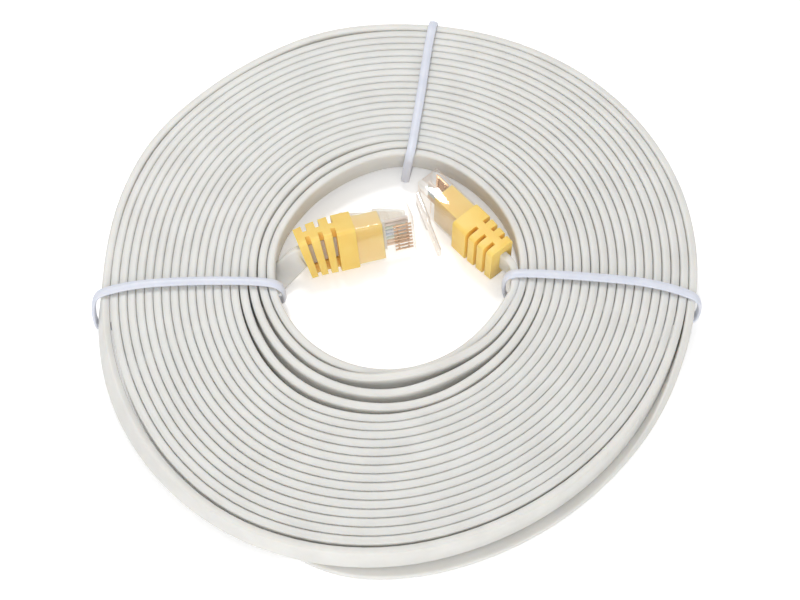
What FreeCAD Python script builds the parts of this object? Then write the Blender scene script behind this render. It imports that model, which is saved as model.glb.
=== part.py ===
"""Flat ethernet patch cable, wound in one spiral, with a moulded plug on each end and three wire ties.

Millimetres, +Z up. The cable lies on the plane z = 0 and its origin is the middle of its
bounding box, at that plane. Each sub-part is written to parts/NODE.step.
"""
import FreeCAD, Part
import math
import os

Vector = FreeCAD.Vector

# Cable
CABLE_WIDTH = 6.1
CABLE_THICKNESS = 1.6

# Plug: x runs to the nose, y to the latch and z across the contacts, from the middle of the nose
HOUSING_LENGTH = 15.5
HOUSING_WIDTH = 11.68
HOUSING_HEIGHT = 6.6
HOUSING_EDGE_RADIUS = 0.5
CONTACT_COUNT = 8
CONTACT_PITCH = 1.02
CONTACT_THICKNESS = 0.35
CONTACT_SLOT_WIDTH = 0.55
CONTACT_INSET = 0.3
CONTACT_END_PLAY = 0.15
CONTACT_REAR_CHAMFER = 0.3
CONTACT_NOSE_CHAMFER = 0.45
NOSE_WALL = 0.9
CONDUCTOR_DIAMETER = 0.76
CONDUCTOR_SIDES = 12
CHAMBER_WIDTH = 8.6
CHAMBER_HEADROOM = 0.52
LOAD_BAR_LENGTH = 2.6
LOAD_BAR_TO_CONTACTS = 0.9
LOAD_BAR_PLAY = 0.04
LOAD_BAR_SLOT = 0.84
CRIMP_LENGTH = 2.0
CRIMP_WIDTH = 6.0
CRIMP_DEPTH = 0.8
CRIMP_FROM_REAR = 1.6
CUT_OVERRUN = 0.5
# Conductors across the plug, in the order of its contacts
PAIR_ORDER = ("orange", "orange", "green", "blue", "blue", "green", "brown", "brown")

# Latch: one spring tab, rooted at the nose
LATCH_REST_ANGLE = 23.0
LATCH_LENGTH = 16.4
LATCH_THICKNESS = 0.9
LATCH_ROOT_RADIUS = 0.5
LATCH_ROOT_SETBACK = 1.3
LATCH_ROOT_RISE = 0.25
LATCH_ROOT_CLEARANCE = 0.06
LATCH_UNDERSIDE_STEP = 0.1
LATCH_SHOULDER_WIDTH = 6.0
LATCH_SHOULDER_LENGTH = 7.6
LATCH_SHOULDER_TAPER = 0.8
LATCH_TAIL_WIDTH = 3.2
LATCH_SIDE_PLAY = 0.15
LATCH_WELL_LENGTH = 3.8
LATCH_WELL_DEPTH = 0.4

# Boot: soft overmoulding with a block, three fins that taper to the cable, and a nose in the housing
BLOCK_WIDTH = 12.4
BLOCK_HEIGHT = 7.6
BLOCK_LENGTH = 3.7
REAR_FIN_WIDTH = 11.0
REAR_FIN_HEIGHT = 6.5
BOOT_CORNER_RADIUS = 0.9
BOOT_CORNER_FACETS = 3
FIN_COUNT = 3
FIN_PITCH = 2.9
FIN_SLOT = 1.2
SPINE_THICKNESS = 2.1
INSERT_LENGTH = 6.0
INSERT_WIDTH = 9.6
INSERT_HEIGHT = 4.4
CABLE_GRIP = 10.4
BOOT_LENGTH = BLOCK_LENGTH + FIN_COUNT * FIN_PITCH
PLUG_LENGTH = HOUSING_LENGTH + BOOT_LENGTH

# Spiral: seen from above it runs counter-clockwise from its outer end to its inner end.
# Its hollow takes a whole plug on either side of the middle, with a little to spare.
COIL_CENTRE = Vector(0.6, 1.7, 0.0)
PLUG_CLEARANCE = 0.9
INNER_RADIUS = PLUG_LENGTH + PLUG_CLEARANCE
TURN_PITCH = 2.156
TURN_GAP = TURN_PITCH - CABLE_THICKNESS
OUTER_TURN = 21
OUTER_RADIUS = INNER_RADIUS + TURN_PITCH * (OUTER_TURN - 1)
OUTER_END_ANGLE = 330.0
INNER_END_ANGLE = 330.0
END_RUN = 2.0
QUARTER_TURN = 90.0
# How far the turns are pushed off a plain spiral at each quarter, and how much less near the middle
BULGE = {60.0: 0.40, 150.0: -0.33, 240.0: 5.85, 330.0: -0.33}
BULGE_FIRST_TURN = 0.3
BULGE_PER_TURN = 0.16
GAP_STEP = 2.0

# Wire ties, each round the whole coil at one place
TIE_WIDTH = 2.1
TIE_THICKNESS = 1.0
TIE_CORE = 0.5
TIE_CORE_PLAY = 0.02
TIE_SLACK = 3.0
TIE_TOP_PLAY = 0.6
TIE_TURNS_INSIDE = {"left": 0.0, "right": 1.5, "top": 0.0}
TIE_SIDE_CHAMFER = 0.45
TIE_CORNER_SHARE = 0.33
TIE_CORNER_STEP = 1.4
TIE_END_LAP = 6.0
TIE_END_GAP = 0.15
TIE_ANGLES = {"left": (193.7, 186.0), "right": (351.5, 353.0), "top": (83.0, 82.0)}

# Heights: the ties lie on the table, the crossing ribbon on the left tie, the coil on the ribbon
COIL_BOTTOM = TIE_THICKNESS + CABLE_THICKNESS
COIL_MIDDLE = COIL_BOTTOM + CABLE_WIDTH / 2
COIL_TOP = COIL_BOTTOM + CABLE_WIDTH
UNDERPASS_HEIGHT = TIE_THICKNESS + CABLE_THICKNESS / 2
GROUND_HEIGHT = CABLE_THICKNESS / 2

# Where each plug lies: its rear, by angle and distance inside the coil, its heading, and its lean
LEFT_REAR = (175.5, 5.8)
LEFT_HEADING = 16.0
LEFT_LEAN = 27.0
RIGHT_REAR = (4.1, 3.45)
RIGHT_HEADING = 131.5
RIGHT_LEAN = 0.0

# The right lead runs from the coil's inner end into the right boot
RIGHT_LEAD_FIRST_RUN = 5.5
RIGHT_LEAD_LAST_RUN = 4.2

# The left lead leaves its boot level, drops to the table side of the coil and turns flat
LEFT_EXIT_RUN = 0.6
DROP_SPAN = 5.6
DROP_STEPS = 7
UNDER_WALL = (181.9, 0.9)

# Flat stretch under the coil: angle, share of the way from the inner turn to the outer one, and height
FLAT_FIRST_RUN = 5.0
FLAT_ROUTE = ((193.9, 0.218, UNDERPASS_HEIGHT), (206.6, 0.274, UNDERPASS_HEIGHT),
              (232.6, 0.392, UNDERPASS_HEIGHT), (256.8, 0.818, GROUND_HEIGHT),
              (263.7, 1.045, GROUND_HEIGHT), (275.2, 1.100, GROUND_HEIGHT))
FLAT_LAST_RUN = 13.0
STATION_STEP = 1.6
FLAT_STATION_STEP = 3.2

# The outermost turn rises from flat to upright beside the turn inside it
RISE_FROM_ANGLE = 296.0
RISE_STEPS = 14


def heading_vector(degrees):
    """Level unit vector at a heading, counted from +X towards +Y."""
    angle = math.radians(degrees)
    return Vector(math.cos(angle), math.sin(angle), 0.0)


def box(low, high):
    """Solid box between two corners."""
    size = [b - a for a, b in zip(low, high)]
    return Part.makeBox(*size, Vector(*low))


def polygon_face(points):
    """Face inside a closed polygon."""
    return Part.Face(Part.makePolygon(points + points[:1]))


# Paths

def arc_from(start, tangent, end):
    """Arc that leaves a point along a tangent and ends at another point, or a line if it is straight."""
    chord = end - start
    along = Vector(chord).normalize()
    side = tangent - along * tangent.dot(along)
    if side.Length < 1e-7:
        return Part.LineSegment(start, end).toShape()
    bulge = chord.Length / 2 * math.tan(tangent.getAngle(chord) / 2)
    middle = start + chord * 0.5 + side.normalize() * bulge
    return Part.Arc(start, middle, end).toShape()


def filleted_path(points, share=0.45):
    """Straight runs through the points joined by tangent arcs: edges, length and radii."""
    edges = []
    radii = []
    length = 0.0
    last = points[0]
    for before, corner, after in zip(points, points[1:], points[2:]):
        into = (corner - before).normalize()
        out_of = (after - corner).normalize()
        turn = into.getAngle(out_of)
        reach = share * min((corner - before).Length, (after - corner).Length)
        radius = reach / math.tan(turn / 2)
        start = corner - into * reach
        end = corner + out_of * reach
        edges.append(Part.LineSegment(last, start).toShape())
        edges.append(arc_from(start, into, end))
        length += (start - last).Length + radius * turn
        radii.append(radius)
        last = end
    edges.append(Part.LineSegment(last, points[-1]).toShape())
    length += (points[-1] - last).Length
    return edges, length, radii


def path_stations(edges, step):
    """Points and unit tangents along joined edges: the ends of straight runs, and one a step on arcs."""
    stations = []
    for number, edge in enumerate(edges):
        straight = isinstance(edge.Curve, Part.Line)
        count = 1 if straight else max(1, math.ceil(edge.Length / step))
        span = edge.LastParameter - edge.FirstParameter
        for index in range(0 if number == 0 else 1, count + 1):
            parameter = edge.FirstParameter + span * index / count
            stations.append((edge.valueAt(parameter), edge.tangentAt(parameter)))
    return stations


def faceted_solid(rings, twisted=False):
    """Solid through closed rings of points, with flat facets between them.

    A twisted solid's quads are split about their middle, which keeps its section's area.
    """
    faces = [polygon_face(rings[0]), polygon_face(rings[-1])]
    count = len(rings[0])
    for ring, following in zip(rings, rings[1:]):
        for corner in range(count):
            beyond = (corner + 1) % count
            loop = [ring[corner], ring[beyond], following[beyond], following[corner]]
            if twisted:
                middle = (loop[0] + loop[1] + loop[2] + loop[3]) * 0.25
                faces += [polygon_face([loop[index - 1], loop[index], middle]) for index in range(4)]
            else:
                faces += [polygon_face(loop[:3]), polygon_face([loop[0], loop[2], loop[3]])]
    solid = Part.Solid(Part.Shell(faces))
    if solid.Volume < 0:
        solid.reverse()
    return solid


def place_round_coil(angle, radius, height=0.0):
    """Point at an angle and a radius round the coil's centre."""
    return COIL_CENTRE + heading_vector(angle) * radius + Vector(0, 0, height)


def angle_of(place):
    """Angle of a place round the coil's centre, in degrees from 0 to 360."""
    return math.degrees(math.atan2(place.y - COIL_CENTRE.y, place.x - COIL_CENTRE.x)) % 360


# Cable

def ribbon_corners(place, tangent, roll):
    """Corners of the ribbon's section across a tangent: roll 0 lies flat, 90 stands on edge."""
    right = tangent.cross(Vector(0, 0, 1)).normalize()
    up = right.cross(tangent)
    angle = math.radians(roll)
    wide = (right * math.cos(angle) + up * math.sin(angle)) * (CABLE_WIDTH / 2)
    thin = (up * math.cos(angle) - right * math.sin(angle)) * (CABLE_THICKNESS / 2)
    return [place - wide - thin, place + wide - thin, place + wide + thin, place - wide + thin]


def swept_ribbon(edges, roll):
    """Ribbon along a level path without twist."""
    first = edges[0]
    start = first.valueAt(first.FirstParameter)
    tangent = first.tangentAt(first.FirstParameter)
    corners = ribbon_corners(start, tangent, roll)
    return Part.Wire(edges).makePipeShell([Part.makePolygon(corners + corners[:1])], True, False)


def faceted_ribbon(stations, rolls):
    """Ribbon through sections at the stations, each with its own roll."""
    rings = [ribbon_corners(place, tangent, roll) for (place, tangent), roll in zip(stations, rolls)]
    return faceted_solid(rings, twisted=max(rolls) > min(rolls))


def turn_radius(turns_out, angle):
    """Radius of the ribbon's middle, for the turns still to go to the inner end, at an angle."""
    slack = min(1.0, BULGE_FIRST_TURN + BULGE_PER_TURN * turns_out)
    return INNER_RADIUS + TURN_PITCH * turns_out + BULGE[angle] * slack


def spiral_nodes():
    """Quarter points of the spiral, outer end first: place and unit tangent."""
    start = OUTER_TURN - OUTER_END_ANGLE / 360
    count = round((start - (1 - INNER_END_ANGLE / 360)) * 360 / QUARTER_TURN)
    radii = []
    for index in range(count + 1):
        angle = (OUTER_END_ANGLE + index * QUARTER_TURN) % 360
        radii.append((angle, turn_radius(start - index * QUARTER_TURN / 360, angle)))
    nodes = []
    for index, (angle, radius) in enumerate(radii):
        before = radii[max(index - 1, 0)][1]
        after = radii[min(index + 1, count)][1]
        quarters = min(index + 1, count) - max(index - 1, 0)
        slope = (after - before) / (quarters * math.radians(QUARTER_TURN))
        onward = heading_vector(angle + 90) * radius + heading_vector(angle) * slope
        nodes.append((place_round_coil(angle, radius, COIL_MIDDLE), onward.normalize()))
    return nodes


def biarc(start, start_tangent, end, end_tangent):
    """Two arcs that join two points and their tangents, with equal tangent lengths."""
    chord = end - start
    both = chord.dot(start_tangent + end_tangent)
    spread = 2 * (1 - start_tangent.dot(end_tangent))
    reach = (-both + math.sqrt(both * both + spread * chord.dot(chord))) / spread
    joint = (start + start_tangent * reach + end - end_tangent * reach) * 0.5
    middle_tangent = (end - end_tangent * reach - start - start_tangent * reach).normalize()
    return [arc_from(start, start_tangent, joint), arc_from(joint, middle_tangent, end)]


def coil_path():
    """Edges of the spiral, with a straight run at each end."""
    nodes = spiral_nodes()
    first, first_tangent = nodes[0]
    last, last_tangent = nodes[-1]
    edges = [Part.LineSegment(first - first_tangent * END_RUN, first).toShape()]
    for (start, start_tangent), (end, end_tangent) in zip(nodes, nodes[1:]):
        edges += biarc(start, start_tangent, end, end_tangent)
    edges.append(Part.LineSegment(last, last + last_tangent * END_RUN).toShape())
    return edges


def report_sweep(name, shape, length, radii):
    """Print a ribbon's radii and compare its volume with its section times its length."""
    expected = CABLE_WIDTH * CABLE_THICKNESS * length
    print(name, "length", round(length, 1), "volume share", round(shape.Volume / expected, 4),
          "radii", [round(radius, 1) for radius in radii])


# Plug frames

def plug_placement(rear, heading, lean):
    """Placement of a plug by its rear, leaning on its latch side and resting on its boot's block."""
    angle, inside = rear
    nose = place_round_coil(angle, INNER_RADIUS - inside) + heading_vector(heading) * PLUG_LENGTH
    leaning = math.radians(lean)
    half_height = BLOCK_HEIGHT / 2 - BOOT_CORNER_RADIUS
    half_width = BLOCK_WIDTH / 2 - BOOT_CORNER_RADIUS
    nose.z = half_height * math.sin(leaning) + half_width * math.cos(leaning) + BOOT_CORNER_RADIUS
    turn = FreeCAD.Rotation(Vector(0, 0, 1), heading).multiply(FreeCAD.Rotation(Vector(1, 0, 0), -lean))
    return FreeCAD.Placement(nose, turn)


LEFT_PLUG = plug_placement(LEFT_REAR, LEFT_HEADING, LEFT_LEAN)
RIGHT_PLUG = plug_placement(RIGHT_REAR, RIGHT_HEADING, RIGHT_LEAN)
GRIP_END = Vector(CABLE_GRIP - PLUG_LENGTH, 0, 0)
BOOT_REAR = Vector(-PLUG_LENGTH, 0, 0)


# Free stretches of cable

def smooth(share):
    """Ease in and out between 0 and 1."""
    return share * share * (3 - 2 * share)


def right_lead():
    """Ribbon on edge from the coil's inner end into the right boot, rising to its middle."""
    last, tangent = spiral_nodes()[-1]
    start = last + tangent * END_RUN
    grip = RIGHT_PLUG.multVec(GRIP_END)
    rear = RIGHT_PLUG.multVec(BOOT_REAR)
    back = (rear - grip).normalize()
    points = [start, start + tangent * RIGHT_LEAD_FIRST_RUN, rear + back * RIGHT_LEAD_LAST_RUN, grip]
    edges, length, radii = filleted_path(points)
    stations = path_stations(edges, STATION_STEP)
    shape = faceted_ribbon(stations, [90.0 - RIGHT_LEAN] * len(stations))
    report_sweep("lead_right", shape, length, radii)
    return shape


def drop_profile(share, fall, steepest):
    """Reach, height lost and pitch at a share of the left lead's drop, which is two equal bends."""
    bend = (DROP_SPAN ** 2 + fall ** 2) / (4 * fall)
    if share <= 0.5:
        pitch = steepest * share * 2
        return bend * math.sin(pitch), bend * (1 - math.cos(pitch)), pitch
    pitch = steepest * (2 - share * 2)
    return DROP_SPAN - bend * math.sin(pitch), fall - bend * (1 - math.cos(pitch)), pitch


def left_lead():
    """Ribbon from the left boot that drops in two bends, turns flat and meets the flat stretch."""
    grip = LEFT_PLUG.multVec(GRIP_END)
    rear = LEFT_PLUG.multVec(BOOT_REAR)
    angle, outside = UNDER_WALL
    aim = place_round_coil(angle, INNER_RADIUS + outside) - Vector(rear.x, rear.y, 0)
    start = math.radians(LEFT_HEADING + 180.0)
    sweep = 2 * (math.atan2(aim.y, aim.x) % (2 * math.pi) - start)
    radius = aim.Length / (2 * math.sin(sweep / 2))
    fall = rear.z - UNDERPASS_HEIGHT
    steepest = 2 * math.atan2(fall, DROP_SPAN)

    def station(reach, height, pitch):
        turned = start + reach / radius
        plan = Vector(math.sin(turned) - math.sin(start), math.cos(start) - math.cos(turned), 0)
        level = Vector(math.cos(turned), math.sin(turned), 0)
        place = Vector(rear.x, rear.y, height) + plan * radius
        return place, level * math.cos(pitch) - Vector(0, 0, math.sin(pitch))

    in_boot = heading_vector(LEFT_HEADING + 180.0)
    stations = [(grip, in_boot), (rear, in_boot)]
    rolls = [90.0 - LEFT_LEAN] * 2
    for index in range(DROP_STEPS * 2 + 1):
        share = index / (DROP_STEPS * 2)
        reach, lost, pitch = drop_profile(share, fall, steepest)
        stations.append(station(LEFT_EXIT_RUN + reach, rear.z - lost, pitch))
        rolls.append((90.0 - LEFT_LEAN) * (1 - smooth(share)))
    stations.append(station(radius * sweep, UNDERPASS_HEIGHT, 0.0))
    rolls.append(0.0)
    shape = faceted_ribbon(stations, rolls)
    bend = (DROP_SPAN ** 2 + fall ** 2) / (4 * fall)
    length = CABLE_GRIP + 2 * bend * steepest + radius * sweep - DROP_SPAN
    report_sweep("lead_left", shape, length, [bend, radius])
    return shape, stations[-1]


def outer_rise():
    """Outermost stretch: flat on the table, then up on edge beside the turn inside it."""
    end, end_tangent = spiral_nodes()[0]
    end = end - end_tangent * END_RUN
    quarters = round(360 / QUARTER_TURN)
    last_quarter = coil_path()[2 * quarters - 1:2 * quarters + 1]
    beside = [item for item in path_stations(last_quarter, STATION_STEP / 4)
              if angle_of(item[0]) >= RISE_FROM_ANGLE and (end - item[0]).dot(end_tangent) > END_RUN / 2]
    chosen = [beside[round(index * (len(beside) - 1) / RISE_STEPS)] for index in range(RISE_STEPS + 1)]
    places = []
    rolls = []
    for index, (place, tangent) in enumerate(chosen):
        share = index / len(chosen)
        roll = 90.0 * smooth(share)
        lean = math.radians(roll)
        out = CABLE_THICKNESS / 2 + TURN_GAP
        out += CABLE_WIDTH / 2 * math.cos(lean) + CABLE_THICKNESS / 2 * math.sin(lean)
        up = COIL_BOTTOM * share ** 2
        up += CABLE_WIDTH / 2 * math.sin(lean) + CABLE_THICKNESS / 2 * math.cos(lean)
        right = tangent.cross(Vector(0, 0, 1))
        places.append(Vector(place.x, place.y, 0) + right * out + Vector(0, 0, up))
        rolls.append(roll)
    places.append(end)
    rolls.append(90.0)
    stations = []
    for index, place in enumerate(places):
        before = places[max(index - 1, 0)]
        after = places[min(index + 1, len(places) - 1)]
        stations.append((place, (after - before).normalize()))
    level = Vector(stations[0][1].x, stations[0][1].y, 0).normalize()
    stations[0] = (stations[0][0], level)
    stations[-1] = (end, end_tangent)
    shape = faceted_ribbon(stations, rolls)
    length = sum((b - a).Length for a, b in zip(places, places[1:]))
    report_sweep("rise", shape, length, [])
    return shape, stations[0]


def underpass(entry, leave):
    """Flat ribbon that crosses under the coil, from the left lead to the outermost stretch."""
    start, start_tangent = entry
    end, end_tangent = leave
    points = [start, start + start_tangent * FLAT_FIRST_RUN]
    for angle, share, height in FLAT_ROUTE:
        points.append(place_round_coil(angle, INNER_RADIUS + share * (OUTER_RADIUS - INNER_RADIUS), height))
    points += [end - end_tangent * FLAT_LAST_RUN, end]
    edges, length, radii = filleted_path(points)
    stations = path_stations(edges, FLAT_STATION_STEP)
    shape = faceted_ribbon(stations, [0.0] * len(stations))
    report_sweep("underpass", shape, length, radii)
    return shape


# Plug pieces, in the plug's own frame

LATCH_HINGE = Vector(-LATCH_ROOT_SETBACK, HOUSING_HEIGHT / 2 + LATCH_ROOT_RISE, 0)
CONDUCTOR_RADIUS = CONDUCTOR_DIAMETER / 2
CHAMBER_ROOF = -CONDUCTOR_RADIUS - CHAMBER_HEADROOM
INSERT_FRONT = INSERT_LENGTH - HOUSING_LENGTH
LOAD_BAR_FRONT = INSERT_FRONT + LOAD_BAR_LENGTH
CONTACT_SLOT_REAR = LOAD_BAR_FRONT + LOAD_BAR_TO_CONTACTS


def contact_places():
    """Middle of each contact across the plug."""
    return [(index - (CONTACT_COUNT - 1) / 2) * CONTACT_PITCH for index in range(CONTACT_COUNT)]


def cut_all(body, tools):
    """Body less each of the tools."""
    return body.cut(Part.makeCompound(tools))


def plug_housing():
    """Clear housing: contact slots open at nose and face, wire chamber, boot pocket and latch well."""
    half_height = HOUSING_HEIGHT / 2
    half_width = HOUSING_WIDTH / 2
    body = box((-HOUSING_LENGTH, -half_height, -half_width), (0, half_height, half_width))
    long_edges = [edge for edge in body.Edges if abs(edge.Length - HOUSING_LENGTH) < 1e-6]
    body = body.makeFillet(HOUSING_EDGE_RADIUS, long_edges)
    half_slot = CONTACT_SLOT_WIDTH / 2
    slots = [box((CONTACT_SLOT_REAR, -half_height - CUT_OVERRUN, place - half_slot),
                 (CUT_OVERRUN, CHAMBER_ROOF, place + half_slot)) for place in contact_places()]
    body = cut_all(body, slots)
    body = body.cut(box((INSERT_FRONT, CHAMBER_ROOF, -CHAMBER_WIDTH / 2),
                        (-NOSE_WALL, CONDUCTOR_RADIUS, CHAMBER_WIDTH / 2)))
    body = body.cut(box((-HOUSING_LENGTH - CUT_OVERRUN, -INSERT_HEIGHT / 2, -INSERT_WIDTH / 2),
                        (INSERT_FRONT, INSERT_HEIGHT / 2, INSERT_WIDTH / 2)))
    crimp_rear = CRIMP_FROM_REAR - HOUSING_LENGTH
    body = body.cut(box((crimp_rear, -half_height - CUT_OVERRUN, -CRIMP_WIDTH / 2),
                        (crimp_rear + CRIMP_LENGTH, CRIMP_DEPTH - half_height, CRIMP_WIDTH / 2)))
    well = LATCH_SHOULDER_WIDTH / 2 + LATCH_SIDE_PLAY
    body = body.cut(box((LATCH_HINGE.x - LATCH_WELL_LENGTH, half_height - LATCH_WELL_DEPTH, -well),
                        (LATCH_HINGE.x, half_height + CUT_OVERRUN, well)))
    groove = Part.makeCylinder(LATCH_ROOT_RADIUS + LATCH_ROOT_CLEARANCE, 2 * well,
                               LATCH_HINGE - Vector(0, 0, well))
    return body.cut(groove)


def plug_latch():
    """Spring latch: rounded root, wide shoulders that hold in the socket, narrow tail to press."""
    half_root = LATCH_SHOULDER_WIDTH / 2
    half_tail = LATCH_TAIL_WIDTH / 2
    neck = -LATCH_SHOULDER_LENGTH - LATCH_SHOULDER_TAPER
    outline = [(0, -half_root), (-LATCH_SHOULDER_LENGTH, -half_root), (neck, -half_tail),
               (-LATCH_LENGTH, -half_tail), (-LATCH_LENGTH, half_tail), (neck, half_tail),
               (-LATCH_SHOULDER_LENGTH, half_root), (0, half_root)]
    underside = LATCH_UNDERSIDE_STEP - LATCH_ROOT_RADIUS
    face = polygon_face([Vector(along, underside, across) for along, across in outline])
    tab = face.extrude(Vector(0, LATCH_THICKNESS, 0))
    root = Part.makeCylinder(LATCH_ROOT_RADIUS, LATCH_SHOULDER_WIDTH, Vector(0, 0, -half_root))
    latch = root.fuse(tab).removeSplitter()
    latch.rotate(Vector(0, 0, 0), Vector(0, 0, 1), -LATCH_REST_ANGLE)
    latch.translate(LATCH_HINGE)
    return latch


def plug_contacts():
    """Gold blades on edge in the slots, each down on its own conductor."""
    top = CONTACT_INSET - HOUSING_HEIGHT / 2
    rear = CONTACT_SLOT_REAR + CONTACT_END_PLAY
    front = -NOSE_WALL / 2
    step = CHAMBER_ROOF - CONTACT_END_PLAY
    inside = -NOSE_WALL - CONTACT_END_PLAY
    outline = [(rear, -CONDUCTOR_RADIUS), (rear, top + CONTACT_REAR_CHAMFER), (rear + CONTACT_REAR_CHAMFER, top),
               (front - CONTACT_NOSE_CHAMFER, top), (front, top + CONTACT_NOSE_CHAMFER), (front, step),
               (inside, step), (inside, -CONDUCTOR_RADIUS)]
    blades = []
    for place in contact_places():
        points = [Vector(along, across, place - CONTACT_THICKNESS / 2) for along, across in outline]
        blades.append(polygon_face(points).extrude(Vector(0, 0, CONTACT_THICKNESS)))
    return Part.makeCompound(blades)


def plug_load_bar():
    """Comb that holds the conductors side by side behind the contacts."""
    half_width = CHAMBER_WIDTH / 2 - LOAD_BAR_PLAY
    bar = box((INSERT_FRONT, CHAMBER_ROOF + LOAD_BAR_PLAY, -half_width),
              (LOAD_BAR_FRONT, CONDUCTOR_RADIUS, half_width))
    half_slot = LOAD_BAR_SLOT / 2
    slots = [box((INSERT_FRONT - CUT_OVERRUN, -half_slot, place - half_slot),
                 (LOAD_BAR_FRONT + CUT_OVERRUN, CUT_OVERRUN, place + half_slot))
             for place in contact_places()]
    return cut_all(bar, slots)


def plug_pair(colour):
    """Two insulated conductors of one colour pair, from the boot's nose to the housing's nose wall."""
    wires = []
    for place, pair in zip(contact_places(), PAIR_ORDER):
        if pair == colour:
            turns = [2 * math.pi * side / CONDUCTOR_SIDES for side in range(CONDUCTOR_SIDES)]
            outline = [Vector(INSERT_FRONT, CONDUCTOR_RADIUS * math.cos(turn),
                              place + CONDUCTOR_RADIUS * math.sin(turn)) for turn in turns]
            wires.append(polygon_face(outline).extrude(Vector(-NOSE_WALL - INSERT_FRONT, 0, 0)))
    return Part.makeCompound(wires)


def boot_outline(along, height, width):
    """Section of the boot at a place along the plug, each corner rounded in a few facets."""
    points = []
    for number, (up, across) in enumerate(((1, 1), (-1, 1), (-1, -1), (1, -1))):
        for facet in range(BOOT_CORNER_FACETS + 1):
            turn = math.radians(90 * (number + facet / BOOT_CORNER_FACETS))
            points.append(Vector(along, up * (height / 2 - BOOT_CORNER_RADIUS) + BOOT_CORNER_RADIUS * math.cos(turn),
                                 across * (width / 2 - BOOT_CORNER_RADIUS) + BOOT_CORNER_RADIUS * math.sin(turn)))
    return Part.makePolygon(points + points[:1])


def plug_boot():
    """Soft overmoulding: block behind the housing, three tapered fins on a spine, and a nose inside."""
    block_rear = -HOUSING_LENGTH - BLOCK_LENGTH
    block_outline = boot_outline(block_rear, BLOCK_HEIGHT, BLOCK_WIDTH)
    block = Part.Face(block_outline).extrude(Vector(BLOCK_LENGTH, 0, 0))
    rear_outline = boot_outline(-PLUG_LENGTH, REAR_FIN_HEIGHT, REAR_FIN_WIDTH)
    boot = block.fuse(Part.makeLoft([block_outline, rear_outline], True, True))
    boot = boot.fuse(box((-HOUSING_LENGTH, -INSERT_HEIGHT / 2, -INSERT_WIDTH / 2),
                         (INSERT_FRONT, INSERT_HEIGHT / 2, INSERT_WIDTH / 2)))
    boot = boot.cut(box((-PLUG_LENGTH - CUT_OVERRUN, -CABLE_THICKNESS / 2, -CABLE_WIDTH / 2),
                        (CABLE_GRIP - PLUG_LENGTH, CABLE_THICKNESS / 2, CABLE_WIDTH / 2)))
    across = BLOCK_WIDTH / 2 + CUT_OVERRUN
    beyond = BLOCK_HEIGHT / 2 + CUT_OVERRUN
    half_spine = SPINE_THICKNESS / 2
    for index in range(FIN_COUNT):
        front = block_rear - index * FIN_PITCH
        rear = front - FIN_SLOT
        boot = boot.cut(box((rear, half_spine, -across), (front, beyond, across)))
        boot = boot.cut(box((rear, -beyond, -across), (front, -half_spine, across)))
        boot = boot.cut(box((rear, -half_spine, -CABLE_WIDTH / 2), (front, half_spine, CABLE_WIDTH / 2)))
    return boot.removeSplitter()


# Ties

def radius_at(edges, angle):
    """Radii at which the spiral crosses a ray from its centre, smallest first."""
    found = []
    for edge in edges:
        first = edge.valueAt(edge.FirstParameter)
        last = edge.valueAt(edge.LastParameter)
        before = angle_of(first)
        swept = (angle_of(last) - before) % 360
        share = ((angle - before) % 360) / swept if swept > 0 else 2.0
        if share <= 1.0:
            place = edge.valueAt(edge.FirstParameter + (edge.LastParameter - edge.FirstParameter) * share)
            found.append(math.hypot(place.x - COIL_CENTRE.x, place.y - COIL_CENTRE.y))
    return sorted(found)


def tie_path(name):
    """Path of a tie round the coil, its two ends side by side underneath."""
    edges = coil_path()
    inner_angle, outer_angle = TIE_ANGLES[name]
    half = CABLE_THICKNESS / 2
    inner_radius = radius_at(edges, inner_angle)[0] - TIE_TURNS_INSIDE[name] * TURN_PITCH - half
    inner = place_round_coil(inner_angle, inner_radius)
    outer = place_round_coil(outer_angle, radius_at(edges, outer_angle)[-1] + half)
    along = (outer - inner).normalize()
    side = Vector(0, 0, 1).cross(along)
    across = (outer - inner).Length
    bottom = TIE_THICKNESS / 2
    top = COIL_TOP + TIE_TOP_PLAY + TIE_THICKNESS / 2
    middle = across / 2
    beside = TIE_WIDTH + TIE_END_GAP
    route = [(middle + TIE_END_LAP, beside, bottom), (middle - TIE_END_LAP - TIE_WIDTH, beside, bottom),
             (-TIE_SLACK, 0, bottom), (-TIE_SLACK, 0, top), (across + TIE_SLACK, 0, top),
             (across + TIE_SLACK, 0, bottom), (middle - TIE_END_LAP, 0, bottom)]
    points = [inner + along * reach + side * shift + Vector(0, 0, height) for reach, shift, height in route]
    return filleted_path(points, TIE_CORNER_SHARE)[0], side


def tie_sweep(edges, side, outline):
    """Closed outline, given as across and through, carried along a tie's path with mitred corners."""
    places = [place for place, _ in path_stations(edges, TIE_CORNER_STEP)]
    rings = []
    for index, place in enumerate(places):
        into = (place - places[index - 1]).normalize() if index else (places[1] - place).normalize()
        out_of = (places[index + 1] - place).normalize() if index + 1 < len(places) else into
        mitre = (into + out_of).normalize()
        through = into.cross(side)
        points = [place + side * across + through * depth for across, depth in outline]
        rings.append([point - into * ((point - place).dot(mitre) / into.dot(mitre)) for point in points])
    return faceted_solid(rings)


def tie_pieces(name):
    """Plastic sleeve with its bore, and the steel wire inside."""
    edges, side = tie_path(name)
    flat = TIE_WIDTH / 2 - TIE_SIDE_CHAMFER
    half = TIE_THICKNESS / 2
    outline = [(-TIE_WIDTH / 2, 0), (-flat, -half), (flat, -half), (TIE_WIDTH / 2, 0), (flat, half), (-flat, half)]
    bore = TIE_CORE / 2 + TIE_CORE_PLAY
    core = TIE_CORE / 2
    corners = ((-1, -1), (1, -1), (1, 1), (-1, 1))
    sleeve = tie_sweep(edges, side, outline)
    sleeve = sleeve.cut(tie_sweep(edges, side, [(bore * a, bore * b) for a, b in corners]))
    return sleeve, tie_sweep(edges, side, [(core * a, core * b) for a, b in corners])


# Whole cable

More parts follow.
